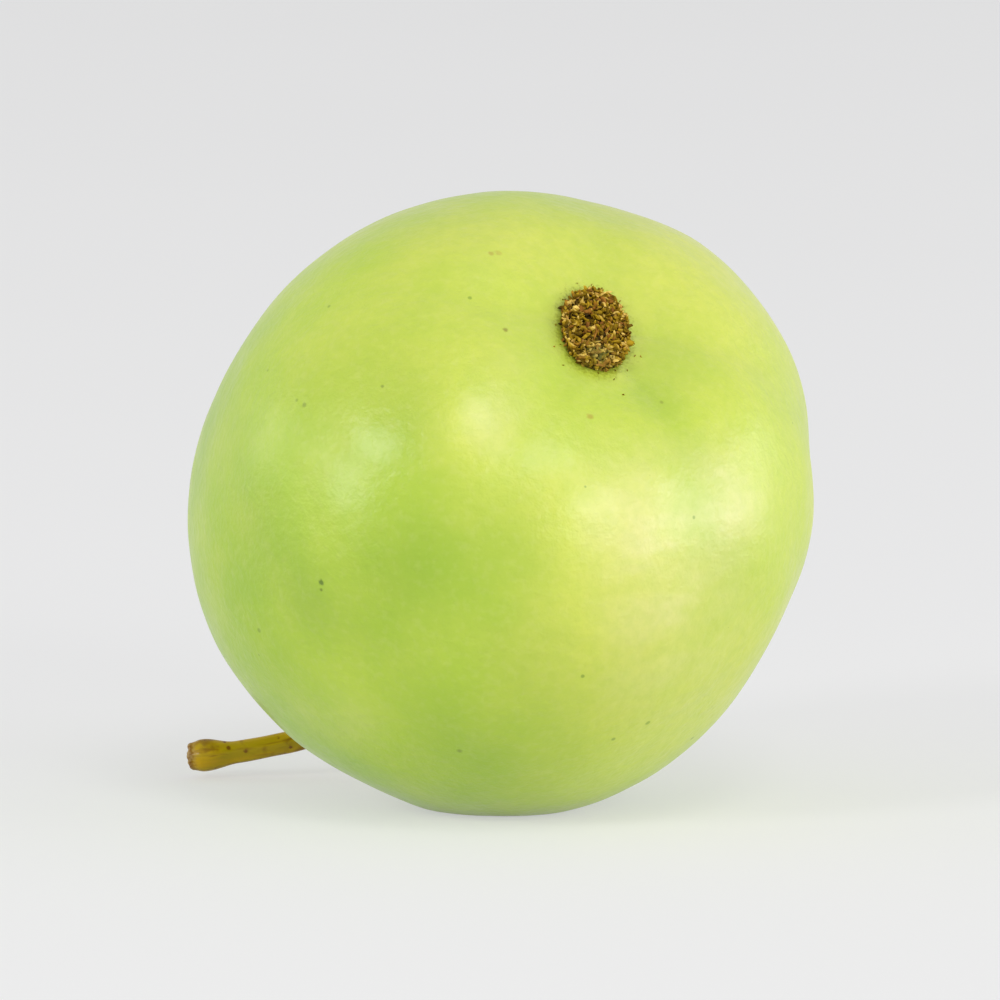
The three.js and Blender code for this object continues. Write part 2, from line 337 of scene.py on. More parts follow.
def bell(away, reach, power=2):
    """A bell exp(-(a/r)^n) over a distance a, with its reach r."""
    return np.exp(-((away / reach) ** power))


def direction(polar, turn):
    """Unit vectors for a polar angle from +Z and a turn from +X."""
    side = np.sin(polar)
    return np.stack([side * np.cos(turn), side * np.sin(turn), np.cos(polar) + 0 * turn], -1)


def facing(azimuth, elevation):
    """A unit vector at an azimuth from -Y towards +X and at an elevation."""
    level = math.cos(elevation)
    return np.array([level * math.sin(azimuth), -level * math.cos(azimuth), math.sin(elevation)])


# ---- The fruit's skin ----


def groove_phase(fruit, turn):
    """Turns counted in grooves, a whole number in the middle of each groove; they are unevenly spread."""
    uneven = fruit.unevenness * np.cos(turn - fruit.uneven_turn)
    return fruit.ribs * (turn - fruit.groove_turn - uneven) / (2 * np.pi)


def groove(fruit, turn):
    """1 along the middle of a groove and 0 on a rib: the square of a raised cosine."""
    return ((1 + np.cos(2 * np.pi * groove_phase(fruit, turn))) / 2) ** 2


def rib_share(polar):
    """How strong the ribs are: a quarter at the stem, growing to full at the calyx."""
    return 0.25 + 0.75 * smoothstep(polar, 0.8, 2.3)


def body_radius(fruit, polar, turn):
    """Distance of the skin from the centre, as a share of the radius, before the two hollows are sunk.

    A superellipse in the side view, (|sin p|^n + |cos p / h|^n)^(-1/n), with its own height h for each
    half, times one plus the ribs, an oval (cos 2t), a three-sided bulge (cos 3t) and a lean.
    """
    side, up = np.sin(polar), np.cos(polar)
    shoulder = np.where(up > 0, fruit.stem_shoulder, fruit.calyx_shoulder)
    power = fruit.squareness
    outline = (np.abs(side) ** power + np.abs(up / shoulder) ** power) ** (-1 / power)
    ribs = fruit.rib_height * rib_share(polar) * side * (GROOVE_MEAN - groove(fruit, turn))
    oval = fruit.oval * side**2 * np.cos(2 * (turn - fruit.oval_turn))
    three = fruit.three_sided * side**3 * np.cos(3 * (turn - fruit.three_sided_turn))
    lean = fruit.lean * side * up * np.cos(turn - fruit.lean_turn)
    return outline * (1 + ribs + oval + three + lean)


def skin_points(fruit, polar, turn, raised=0.0):
    """Points of the skin in the fruit's own frame.

    The body's radius, raised by a height in metres, with the stem's hollow sunk as exp(-(s/w)^1.6) and the
    calyx's basin as exp(-(s/w)^2), where s is the distance from the axis.
    """
    radius = body_radius(fruit, polar, turn) + raised / fruit.radius
    out, height = radius * np.sin(polar), radius * np.cos(polar)
    hollow = fruit.hollow_depth * bell(out, fruit.hollow_width, fruit.hollow_steepness)
    basin = fruit.basin_depth * bell(out, fruit.basin_width)
    height = np.where(np.cos(polar) > 0, height - hollow, height + basin)
    return fruit.radius * np.stack([out * np.cos(turn), out * np.sin(turn), height], -1)


def bells(table, polar, turn):
    """A sum of bells over the angle from the middle of each row of a table."""
    here = direction(polar, turn)
    total = np.zeros(here.shape[:-1])
    for middle_polar, middle_turn, radius, height in table:
        middle = direction(np.radians(middle_polar), np.radians(middle_turn))
        away = np.degrees(np.arccos(np.clip(here @ middle, -1, 1)))
        total += height * bell(away, radius)
    return total


def ripples(polar, turn, least, most, seed):
    """Random ripples of unit height: a sum of plane waves across the ball of directions.

    Their wave numbers lie between the least and the most.
    """
    rng = np.random.default_rng(seed)
    here = direction(polar, turn)
    total = np.zeros(here.shape[:-1])
    waves = 26
    for _ in range(waves):
        way = rng.normal(size=3)
        way *= rng.uniform(least, most) / np.linalg.norm(way)
        total += np.cos(here @ way + rng.uniform(0, 2 * np.pi))
    return total / math.sqrt(waves / 2)


def creases(fruit, polar, turn):
    """Depth from 0 to 1 of the fine crease along each groove, which fades out on the calyx's half."""
    line = ((1 + np.cos(2 * np.pi * groove_phase(fruit, turn))) / 2) ** 9
    return line * smoothstep(polar, 2.0, 2.55)


def relief(fruit, polar, turn):
    """Height in metres of all the low relief: the swellings, the creases and two sizes of ripples."""
    slow = fruit.ripple * ripples(polar, turn, 5, 17, RIPPLE_SEED)
    fine = fruit.fine_ripple * ripples(polar, turn, 18, 46, FINE_RIPPLE_SEED)
    return MM * bells(SWELLINGS, polar, turn) + slow + fine - fruit.crease * creases(fruit, polar, turn)


def laying_axes(fruit):
    """The lying fruit's axes as rows: a level one, a rising one, and the stem's, opposite the calyx."""
    stem_axis = -facing(fruit.calyx_heading, fruit.calyx_elevation)
    level = np.cross([0, 0, 1], stem_axis)
    level /= np.linalg.norm(level)
    return np.stack([level, np.cross(stem_axis, level), stem_axis])


def ball_grid(rings, turns):
    """Polar angles and turns of a ball's grid without its poles, with its rings drawn in towards them."""
    even = np.linspace(0, np.pi, rings + 2)[1:-1]
    polar = even - 0.2 * np.sin(2 * even)
    return np.meshgrid(polar, np.arange(turns) * 2 * np.pi / turns, indexing="ij")


def resting_place(fruit):
    """The lying axes and centre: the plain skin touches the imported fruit's box above and at its sides."""
    axes = laying_axes(fruit)
    low, high = (np.array(corner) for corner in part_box("fruit"))
    plain = (skin_points(fruit, *ball_grid(*ROUGH_SKIN_GRID)) @ axes).reshape(-1, 3)
    least, most = plain.min(0), plain.max(0)
    centre = (low + high - least - most) / 2
    centre[2] = high[2] - most[2]
    return axes, centre


def lay_down(points, place):
    """Points of the fruit's own frame as they lie in the row frame."""
    axes, centre = place
    return points @ axes + centre


def settle(points):
    """Flattens what would reach below the ground: z becomes (z + sqrt(z^2 + 4e^2)) / 2 near the ground."""
    edge, near_ground = 0.00006, 0.002
    settled = points.copy()
    height = points[..., 2]
    eased = (height + np.sqrt(height**2 + 4 * edge**2)) / 2
    settled[..., 2] = np.where(height < near_ground, eased, height)
    return settled


def collar(fruit, stem, polar, turn):
    """Height in metres of the little collar of flesh that the skin draws up round the stem."""
    height, reach = 0.0007, 1.9 * stem.radius
    return np.where(polar < 0.5, height * bell(fruit.radius * np.sin(polar), reach), 0.0)


# ---- Shader building blocks ----


def wire(node, wires):
    """Fills a node's inputs, by name or number, with links or plain values."""
    for key, value in wires.items():
        if isinstance(value, bpy.types.NodeSocket):
            node.id_data.links.new(value, node.inputs[key])
        else:
            node.inputs[key].default_value = value


def add_node(kind, wires, **values):
    """A node in the tree of the sockets that it is wired to, with its properties set."""
    tree = next(value.id_data for value in wires.values() if isinstance(value, bpy.types.NodeSocket))
    node = tree.nodes.new(kind)
    for key, value in values.items():
        setattr(node, key, value)
    wire(node, wires)
    return node


def maths(operation, *values, clamp=False):
    """One Math node's result."""
    wires = dict(enumerate(values))
    return add_node("ShaderNodeMath", wires, operation=operation, use_clamp=clamp).outputs[0]


def vector_maths(operation, first, second, result="Value"):
    """One Vector Math node's result, a number or a vector."""
    return add_node("ShaderNodeVectorMath", {0: first, 1: second}, operation=operation).outputs[result]


def times(first, second):
    """The product of two values."""
    return maths("MULTIPLY", first, second)


def add_up(first, second):
    """The sum of two values."""
    return maths("ADD", first, second)


def blend_colours(factor, first, second):
    """Two colours mixed by a factor. The colours are sockets or plain three-part colours."""
    wires = {0: factor}
    for number, value in ((6, first), (7, second)):
        wires[number] = value if isinstance(value, bpy.types.NodeSocket) else (*value, 1.0)
    return add_node("ShaderNodeMix", wires, data_type="RGBA").outputs[2]


def lay_over(base, *layers):
    """Colours laid over a base one by one, each as (colour, mask) or (colour, mask, the most of it)."""
    for tone, mask, *most in layers:
        base = blend_colours(times(mask, *most) if most else mask, base, tone)
    return base


def ramp(value, base, *steps):
    """A colour that goes from its base through each step's colour between that step's two levels."""
    for tone, low, high in steps:
        base = blend_colours(band(value, low, high), base, tone)
    return base


def band(value, low, high):
    """0 below low and 1 above high, smooth between."""
    wires = {"Value": value, "From Min": low, "From Max": high}
    return add_node("ShaderNodeMapRange", wires, interpolation_type="SMOOTHSTEP").outputs["Result"]


def noise(vector, scale, detail=2.0, roughness=0.5):
    """A noise texture's height, from 0 to 1, with its size as waves for each metre."""
    wires = {"Vector": vector, "Scale": scale, "Detail": detail, "Roughness": roughness}
    return add_node("ShaderNodeTexNoise", wires).outputs["Fac"]


def bumps(height, depth):
    """A normal bumped by a height of 0 to 1 that stands for a depth in metres."""
    wires = {"Strength": 1.0, "Distance": depth, "Height": height}
    return add_node("ShaderNodeBump", wires).outputs["Normal"]


def patches_mask(vector, scale, detail, low, high):
    """Soft patches: 0 to 1 by noise, sharpened between two levels."""
    return band(noise(vector, scale, detail), low, high)


def dots_mask(vector, cells, radius, chosen):
    """Small ragged dots: one in each of the share of cells that is chosen, by Voronoi distance."""
    found = add_node("ShaderNodeTexVoronoi", {"Vector": vector, "Scale": cells}).outputs
    draws = add_node("ShaderNodeSeparateColor", {"Color": found["Color"]}).outputs
    drawn = maths("LESS_THAN", draws["Red"], chosen)
    size = times(radius, add_up(draws["Green"], noise(vector, times(cells, 5.0))))
    near = maths("SUBTRACT", 1.0, maths("DIVIDE", found["Distance"], size), clamp=True)
    return times(band(near, 0.0, 0.5), drawn)


def speck_mask(vector, centre, radius):
    """One speck: 1 inside a slightly ragged radius round a centre, 0 outside."""
    ragged = maths("MULTIPLY_ADD", noise(vector, 5000.0), 0.9, 0.55)
    away = maths("DIVIDE", vector_maths("DISTANCE", vector, centre), times(radius, ragged))
    return maths("SUBTRACT", 1.0, band(away, 0.4, 1.4))


# The effects that are node groups: each one's mask, and its inputs after Vector with their defaults.
EFFECTS = {
    "Soft patches": (patches_mask, {"Scale": 100.0, "Detail": 2.0, "Low": 0.4, "High": 0.6}),
    "Scattered dots": (dots_mask, {"Cells": 300.0, "Radius": 0.08, "Share": 0.4}),
    "Speck": (speck_mask, {"Centre": (0.0, 0.0, 0.0), "Radius": 0.00015}),
}


def new_group(name):
    """The node group of an effect, with its named inputs and its output, Mask."""
    effect, inputs = EFFECTS[name]
    group = bpy.data.node_groups.new(name, "ShaderNodeTree")
    for label, default in {"Vector": (0.0, 0.0, 0.0), **inputs}.items():
        kind = "NodeSocketFloat" if isinstance(default, float) else "NodeSocketVector"
        group.interface.new_socket(label, in_out="INPUT", socket_type=kind).default_value = default
    group.interface.new_socket("Mask", in_out="OUTPUT", socket_type="NodeSocketFloat")
    given = group.nodes.new("NodeGroupInput").outputs
    mask = effect(given["Vector"], *(given[label] for label in inputs))
    wire(group.nodes.new("NodeGroupOutput"), {"Mask": mask})
    return group


def use_group(name, vector, *values):
    """The mask of an effect's node group, which is made once and placed with its own values."""
    group = bpy.data.node_groups.get(name) or new_group(name)
    wires = {"Vector": vector, **dict(zip(EFFECTS[name][1], values))}
    return add_node("ShaderNodeGroup", wires, node_tree=group).outputs["Mask"]


def patches(vector, scale, low, high, detail=2.0):
    """The soft patches' mask."""
    return use_group("Soft patches", vector, scale, detail, low, high)


def dots(vector, cells, radius, chosen):
    """The scattered dots' mask."""
    return use_group("Scattered dots", vector, cells, radius, chosen)


def new_material(name):
    """A material with its tree, its Principled shader and the place on the object in metres."""
    material = bpy.data.materials.new(name)
    material.use_nodes = True
    tree = material.node_tree
    place = tree.nodes.new("ShaderNodeTexCoord").outputs["Object"]
    return material, tree, tree.nodes["Principled BSDF"], place


def read_attribute(tree, name, part="Fac"):
    """A piece's own attribute, as a number, or as a vector where the part is Vector."""
    node = tree.nodes.new("ShaderNodeAttribute")
    node.attribute_name = name
    return node.outputs[part]


# ---- Materials ----


def ripening_and_painted_light(place, fruit, groove_green_and_shade):
    """The main colour: green to yellow in broad patches and towards the right-front side where the lamps
    are, partly ripeness and partly painted light, and greener and darker in the grooves, partly the skin's
    own green and partly painted groove shade.
    """
    # Yellower towards the right-front side, where the lamps stand: partly ripeness, partly painted light.
    ripe_and_lit_side = vector_maths("DOT_PRODUCT", place, (0.74, -0.45, 0.50))
    broad = patches(place, 62.0, 0.36, 0.66)
    ripeness = add_up(times(broad, 0.35), times(band(ripe_and_lit_side, -0.010, 0.032), 0.75))
    base = ramp(ripeness, fruit.green, (fruit.lime, 0.0, 0.55), (fruit.yellow, 0.45, 1.05))
    # Greener along the grooves and pore-dark deep in them: partly the skin's own green, partly painted
    # groove shade.
    deep = maths("POWER", groove_green_and_shade, 3.0)
    return lay_over(base, (fruit.green, groove_green_and_shade, 0.6), (fruit.pore_and_groove_shade, deep, 0.22))


def add_specks(place, base, fruit, speck_places):
    """The single specks, each of its own size, strength and tone, laid over a colour."""
    for centre, (_, _, radius, dark, strength) in zip(speck_places, SPECKS):
        mask = use_group("Speck", place, centre, radius * MM)
        tone = tuple(dark * a + (1 - dark) * b for a, b in zip(fruit.dark_speck, fruit.rusty_speck))
        base = lay_over(base, (tone, mask, strength))
    return base


def skin_material(fruit, speck_places):
    """Waxy yellow-green skin: ripeness in broad patches, tints that are partly painted highlight and painted
    shade, fine mottling, dots, specks, russet and grain.
    """
    material, tree, shader, place = new_material("Waxy skin")
    names = ("groove_green_and_shade", "corky", "stained", "tint_and_painted_light")
    groove_green_and_shade, corky, stained, tint_and_painted_light = (read_attribute(tree, name) for name in names)

    drawn = vector_maths("MULTIPLY", place, (0.4, 0.9, 1.3), "Vector")
    milky = maths("MULTIPLY_ADD", patches(drawn, 240.0, 0.35, 0.65, 3.0), 0.6, 0.4)
    # Pale tints are partly real bloom and partly painted highlight. Lush tints are partly real green and
    # partly painted shade.
    pale = maths("MULTIPLY", tint_and_painted_light, 1.0, clamp=True)
    lush_and_painted_shade = maths("MULTIPLY", tint_and_painted_light, -1.0, clamp=True)
    dusty = add_up(noise(place, 4200.0, 3.0, 0.6), times(stained, 0.62))
    base = lay_over(
        ripening_and_painted_light(place, fruit, groove_green_and_shade),
        (fruit.bloom, pale, milky),
        (fruit.lush_and_painted_shade, lush_and_painted_shade),
        (fruit.yellow, patches(place, 240.0, 0.35, 0.7, 3.0), 0.16),
        (fruit.green, patches(place, 1100.0, 0.3, 0.7, 3.0), 0.14),
        (fruit.bloom, patches(place, 1700.0, 0.45, 0.75), 0.06),
        (fruit.pore_and_groove_shade, dots(place, 420.0, 0.065, 0.34), 0.7),
        (fruit.dust, band(dusty, 0.70, 1.02), 0.6),
        (fruit.russet, corky),
    )
    base = add_specks(place, base, fruit, speck_places)

    bloom = patches(place, 330.0, 0.3, 0.7)
    roughness = add_up(times(bloom, 0.07), times(corky, 0.3))
    pebble, grain = noise(place, 760.0), noise(place, 1900.0, 2.0, 0.6)
    wires = {
        "Base Color": base,
        "Roughness": add_up(roughness, 0.36),
        "Normal": bumps(add_up(pebble, times(grain, 0.8)), 0.00009),
        "IOR": 1.5,
        "Coat Weight": 0.34,
        "Coat Roughness": 0.25,
        "Subsurface Weight": 0.22,
        "Subsurface Radius": (1.0, 1.0, 0.35),
        "Subsurface Scale": 0.0022,
    }
    wire(shader, wires)
    return material


def stem_material(stem):
    """Smooth ochre stem with olive and brown streaks along it, dark dots and a torn scar."""
    material, tree, shader, place = new_material("Ochre stem")
    stretched = read_attribute(tree, "stretched", "Vector")
    scar = read_attribute(tree, "scar")
    base = blend_colours(patches(stretched, 900.0, 0.35, 0.65), stem.ochre, stem.olive)
    base = lay_over(
        base,
        (stem.bark, patches(stretched, 1500.0, 0.58, 0.74, 3.0), 0.75),
        (stem.bark, patches(place, 600.0, 0.54, 0.66, 3.0), 0.55),
        (stem.bark, dots(place, 1350.0, 0.26, 0.6), 0.85),
    )
    torn = blend_colours(patches(place, 3800.0, 0.4, 0.65), stem.scar, stem.bark)
    wires = {
        "Base Color": blend_colours(scar, base, torn),
        "Roughness": maths("MULTIPLY_ADD", scar, 0.45, 0.30),
        "Normal": bumps(noise(stretched, 2600.0, 3.0), 0.00004),
        "Specular IOR Level": 0.2,
        "Coat Weight": 0.10,
        "Coat Roughness": 0.15,
    }
    wire(shader, wires)
    return material


def calyx_material(calyx):
    """Dry crumbs, each with a tone of its own from umber to straw, and some rusty and grey-green ones."""
    material, tree, shader, place = new_material("Dry crumbs")
    tone, rust, moss = (read_attribute(tree, name) for name in ("tone", "rust", "moss"))
    steps = (calyx.brown, 0.0, 0.4), (calyx.ochre, 0.35, 0.75), (calyx.straw, 0.75, 1.0)
    base = ramp(tone, calyx.umber, *steps)
    dirt = patches(place, 4200.0, 0.4, 0.65, 3.0)
    layers = (calyx.rust, rust), (calyx.moss, moss), (calyx.umber, dirt, 0.4)
    wires = {
        "Base Color": lay_over(base, *layers),
        "Roughness": maths("MULTIPLY_ADD", dirt, 0.25, 0.5),
        "Normal": bumps(noise(place, 9000.0, 3.0), 0.00003),
        "Specular IOR Level": 0.10,
    }
    wire(shader, wires)
    return material


# ---- The stem's line ----


def stem_line(fruit, stem, place, count):
    """Points evenly spaced along the stem's middle line, in the row frame.

    A straight run out of the socket along the fruit's axis, then a cubic curve
    (1-t)^3 a + 3(1-t)^2 t b + 3(1-t) t^2 c + t^3 d to the tip.
    """
    floor = fruit.radius * (fruit.stem_shoulder - fruit.hollow_depth)
    ends = np.array([[0, 0, floor - stem.socket_depth], [0, 0, floor + stem.straight]])
    root, mouth = lay_down(ends, place)
    tip, tip_way = np.array(stem.tip), np.array(stem.tip_direction)
    handle = stem.handle * np.linalg.norm(tip - mouth)
    out = mouth + handle * place[0][2]
    back = tip - handle * tip_way / np.linalg.norm(tip_way)
    t = np.linspace(0, 1, 400)[:, None]
    curve = (1 - t) ** 3 * mouth + 3 * (1 - t) ** 2 * t * out + 3 * (1 - t) * t**2 * back + t**3 * tip
    run = root + np.linspace(0, 1, 80)[:-1, None] * (mouth - root)
    line = np.concatenate([run, curve])
    walked = np.concatenate([[0], np.cumsum(np.linalg.norm(np.diff(line, axis=0), axis=1))])
    stops = np.linspace(0, walked[-1], count)
    return np.stack([np.interp(stops, walked, line[:, axis]) for axis in range(3)], -1), walked[-1]


def stem_radius(stem, along):
    """Radius along the stem, swollen at the fruit and into a knob just before the picked end."""
    at_fruit = stem.base_swell * (1 - smoothstep(along, 0.12, 0.35))
    knob = smoothstep(along, 0.86, 0.96) - 0.45 * smoothstep(along, 0.965, 1.0)
    return stem.radius + at_fruit + stem.end_swell * knob


def stem_surface(fruit, stem, place):
    """Rings of points round the stem's line, its torn end, and what its material needs.

    The radius times one plus a low flute and a fine wobble; the last rings close over the end as a
    ragged, slightly hollow scar.
    """
    rings, sides = STEM_GRID
    line, span = stem_line(fruit, stem, place, rings)
    along = np.linspace(0, 1, rings)[:, None]
    turn = (np.arange(sides) * 2 * np.pi / sides)[None]
    way = np.gradient(line, axis=0)
    way /= np.linalg.norm(way, axis=1, keepdims=True)
    side = np.cross(way, [0.0, 0.0, 1.0])
    side /= np.linalg.norm(side, axis=1, keepdims=True)
    over = np.cross(side, way)

    rng = np.random.default_rng(STEM_SEED)
    flute = 0.035 * np.cos(5 * turn + 3 * along) + 0.02 * np.cos(3 * turn - 7 * along)
    wobble = np.zeros_like(flute)
    for _ in range(14):
        turns, waves, phase = rng.integers(0, 5), rng.uniform(4, 60), rng.uniform(0, 2 * np.pi)
        wobble = wobble + np.cos(turns * turn + waves * along + phase)
    radius = stem_radius(stem, along) * (1 + flute + 0.008 * wobble)

    rim = np.array([0.97, 0.90, 0.80, 0.68, 0.54, 0.40, 0.26, 0.12])[:, None]
    lift = np.array([0.00009, 0.00016, 0.00020, 0.00021, 0.00017, 0.00011, 0.00006, 0.00004])[:, None]
    ragged = np.cos(3 * turn + 4 * rim) + 0.7 * np.cos(7 * turn + 9 * rim)
    ragged = 0.00005 * (ragged + 0.5 * np.cos(11 * turn - 5 * rim)) * rim
    radius = np.concatenate([radius, radius[-1:] * rim])
    lift = np.concatenate([np.zeros((rings, sides)), lift + ragged])
    ends = np.minimum(np.arange(rings + len(rim)), rings - 1)
    # Turning from the side vector away from the upper one keeps the faces outwards.
    cos, sin = np.cos(turn)[..., None], np.sin(turn)[..., None]
    round_it = side[ends][:, None] * cos - over[ends][:, None] * sin
    surface = line[ends][:, None] + round_it * radius[..., None] + way[ends][:, None] * lift[..., None]

    drawn = (np.arange(rings + len(rim)) / rings * span * 0.12)[:, None]
    stretched = np.stack([radius * np.cos(turn), radius * np.sin(turn), drawn + 0 * turn], -1)
    browned = np.concatenate([np.zeros(rings - 6), np.linspace(0.05, 0.85, 6), np.ones(len(rim))])
    scar = np.repeat(browned, sides)
    return surface, line[0], line[-1] + way[-1] * lift[-1].min(), stretched, scar


# ---- The calyx ----


def skin_height(fruit, across, along):
    """Height of the skin near the calyx at a place (x, y) off the axis, in the fruit's own frame.

    The polar angle is found by repeating p = pi - asin(out / radius(p)).
    """
    out, turn = np.hypot(across, along) / fruit.radius, np.arctan2(along, across)
    polar = np.pi - np.arcsin(out)
    for _ in range(5):
        polar = np.pi - np.arcsin(np.clip(out / body_radius(fruit, polar, turn), -1, 1))
    return skin_points(fruit, polar, turn, relief(fruit, polar, turn))[..., 2]


def oval_place(calyx, share_out, turn):
    """A place in the calyx's oval, from a share of the way out and a turn, in the fruit's own frame."""
    along = calyx.half_length * share_out * np.cos(turn)
    across = calyx.half_width * share_out * np.sin(turn)
    cos, sin = math.cos(calyx.turn), math.sin(calyx.turn)
    return calyx.middle[0] + along * cos - across * sin, calyx.middle[1] + along * sin + across * cos


def button_stand(calyx, share_out):
    """How far the button stands out of the skin: a low dome with a steep edge."""
    return calyx.stand * np.sqrt(np.clip(1 - share_out**2.6, 0, 1))


def calyx_button(fruit, calyx):
    """The crumbly button under the loose crumbs: a low lumpy dome and a smooth root below the skin."""
    rings, sides = BUTTON_GRID
    outs = np.concatenate([np.linspace(0.03, 0.97, rings), [1.0], np.linspace(0.95, 0.1, 8)])[:, None]
    below = (np.arange(len(outs)) > rings)[:, None]
    turn = (np.arange(sides) * 2 * np.pi / sides)[None]
    across, along = oval_place(calyx, 0.93 * outs, turn)
    lumps = 0.00007 * np.cos(across / 0.00019 + 2 * np.sin(along / 0.0003))
    lumps = lumps + 0.00006 * np.cos(along / 0.00023 - 2 * np.sin(across / 0.00027))
    stand = np.where(below, -calyx.root * np.sqrt(1 - outs**2), button_stand(calyx, outs) + lumps)
    height = skin_height(fruit, across, along) - stand
    return np.stack([across, along, height], -1)


GOLDEN = (1 + math.sqrt(5)) / 2
GRAIN_CORNERS = np.array(
    [(x, y * GOLDEN, 0) for y in (1, -1) for x in (-1, 1)]
    + [(0, x, y * GOLDEN) for y in (1, -1) for x in (-1, 1)]
    + [(x * GOLDEN, 0, y) for x in (1, -1) for y in (-1, 1)]
)
GRAIN_FACES = np.array(
    [(0, 11, 5), (0, 5, 1), (0, 1, 7), (0, 7, 10), (0, 10, 11), (1, 5, 9), (5, 11, 4), (11, 10, 2)]
    + [(10, 7, 6), (7, 1, 8), (3, 9, 4), (3, 4, 2), (3, 2, 6), (3, 6, 8), (3, 8, 9), (4, 9, 5)]
    + [(2, 4, 11), (6, 2, 10), (8, 6, 7), (9, 8, 1)]
)


def crumb_shapes(rng, count):
    """Loose crumbs round the origin: a twenty-sided grain drawn out long, uneven and a little curled."""
    spreads = (0.0, 0.38), (-0.70, 0.28), (-1.0, 0.28)
    half = np.stack([rng.lognormal(*spread, count) for spread in spreads], -1)
    corner = GRAIN_CORNERS / np.linalg.norm(GRAIN_CORNERS[0])
    shapes = corner[None] * half[:, None] * (1 + rng.uniform(-0.3, 0.3, (count, 12, 3)))
    shapes[..., 2] += rng.uniform(-0.4, 0.4, (count, 1)) * shapes[..., 0] ** 2 / half[:, :1]
    return shapes


def nearness(across, along, middle_across, middle_along, radius):
    """A bell exp(-(d/r)^2) over the distance d from a place off the axis."""
    return np.exp(-(((across - middle_across) ** 2 + (along - middle_along) ** 2) / radius**2))


def turned_ways(rng, count, tilt):
    """Random turns as rows of axes: any heading, and tipped from level by a spread of angles."""
    heading = rng.uniform(0, 2 * np.pi, count)
    tip = rng.normal(0, tilt, count)
    roll = rng.normal(0, tilt, count)
    ch, sh, ct, st, cr, sr = (f(v) for v in (heading, tip, roll) for f in (np.cos, np.sin))
    long_way = np.stack([ch * ct, sh * ct, st], -1)
    wide_way = np.stack([-sh * cr - ch * st * sr, ch * cr - sh * st * sr, ct * sr], -1)
    return np.stack([long_way, wide_way, np.cross(long_way, wide_way)], 1)


def crumb_field(fruit, calyx):
    """Every crumb's corners in the fruit's own frame, with their tone and how rusty and mossy they are.

    A crumb's tone is random, darker in the middle of the calyx and paler in one place, and paler at the
    crumb's own top than at its foot: a painted highlight on the tops and painted shade at the feet.
    """
    rng = np.random.default_rng(CRUMB_SEED)
    rim_share, rusty_share = 0.28, 0.22
    count, strays = calyx.crumbs, calyx.strays
    total = count + strays
    inside = np.arange(total) < count
    rim = rng.uniform(0, 1, total) < rim_share
    outs = np.concatenate([0.94 * np.sqrt(rng.uniform(0, 1, count)), 1.03 + rng.exponential(0.12, strays)])
    outs = np.where(rim & inside, rng.uniform(0.88, 0.97, total), outs)
    turn = rng.uniform(0, 2 * np.pi, total)
    across, along = oval_place(calyx, outs, turn)
    heaped = button_stand(calyx, np.minimum(outs, 1)) + rng.uniform(-0.00012, 0.0002, total)
    heaped = np.where(rim, rng.uniform(0.0, 1.0, total) * calyx.stand, heaped)
    lift = np.where(inside, heaped, 0.00002)
    size = calyx.crumb_length / 2 * np.where(inside, 1.0, 0.4)
    shapes = crumb_shapes(rng, total) * size[:, None, None]
    axes = turned_ways(rng, total, 0.7)
    middle = np.stack([across, along, skin_height(fruit, across, along) - lift], -1)
    corners = np.einsum("nci,nij->ncj", shapes, axes)
    # Crumbs are painted paler at their outer tops and darker at their feet: painted highlight and painted
    # shade.
    top = -corners[..., 2] / calyx.crumb_length
    corners += middle[:, None]

    pale = nearness(across, along, *PALE_CRUMBS)
    tone = rng.beta(1.3, 1.4, total) + 0.6 * pale - 0.30 * bell(outs, 0.42)
    tone = np.where(inside, tone, 0.25 + 0.3 * tone)
    tone = np.clip(tone[:, None] + 0.7 * top, 0, 1)
    mossy = nearness(across, along, *MOSSY_CRUMBS)
    moss = np.where(inside, mossy * rng.uniform(0.3, 1.2, total), 0.0)
    rust = np.where(rng.uniform(0, 1, total) < rusty_share, rng.uniform(0.3, 0.8, total), 0.0)
    moss = np.clip(moss, 0, 0.9)
    rust, moss = (np.broadcast_to(value[:, None], tone.shape) for value in (rust, moss))
    return corners, tone, rust, moss


# ---- Operators ----


